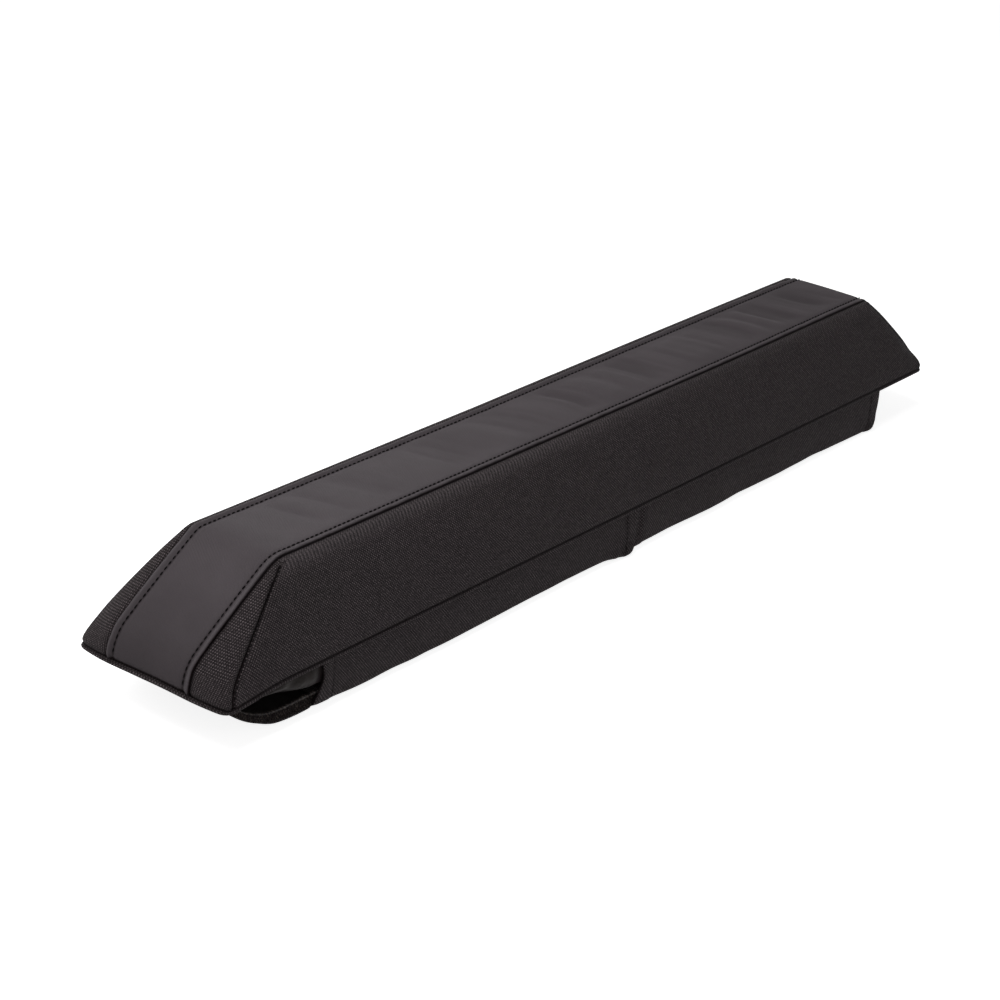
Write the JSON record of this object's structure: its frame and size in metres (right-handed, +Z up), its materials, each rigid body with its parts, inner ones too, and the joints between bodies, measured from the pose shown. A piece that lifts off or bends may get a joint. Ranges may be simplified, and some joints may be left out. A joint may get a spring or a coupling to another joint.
{
  "type": "roof rack pad",
  "caption": "Long foam pad with sloped ends in a sewn cloth cover, with a cloth sleeve below that wraps round a roof rack's cross bar and closes under it.",
  "frame": {"origin": "middle of the footprint, on the surface that the empty sleeve lies on", "axes": "+X along the cross bar, from the end with the curled edge to the other end; +Y from the front, where the wraps' open edges are seen, to the rear; +Z up"},
  "size_m": [0.778, 0.1098, 0.0894],
  "materials": {
    "foam": "matt closed-cell foam",
    "coated_cloth": "smooth coated cloth, soft sheen",
    "woven_cloth": "coarse ribbed weave, matt",
    "lining": "smooth lining cloth, slight sheen",
    "tape": "ribbed and looped tape, matt"
  },
  "bodies": {
    "root": {"foam_core": "foam", "top_panel": "coated_cloth", "side_panel_front": "woven_cloth", "side_panel_rear": "woven_cloth", "base_panel": "woven_cloth", "front_wrap_near": "woven_cloth", "front_wrap_far": "woven_cloth", "rear_wrap_near": "woven_cloth", "rear_wrap_far": "woven_cloth", "mouth_wall": "woven_cloth", "mouth_tongue": "woven_cloth", "front_lining_near": "lining", "front_lining_far": "lining", "rear_lining_near": "lining", "rear_lining_far": "lining", "edge_binding": "tape", "loop_tape_near": "tape", "hook_tape_near": "tape", "loop_tape_far": "tape", "hook_tape_far": "tape"}
  },
  "joints": []
}
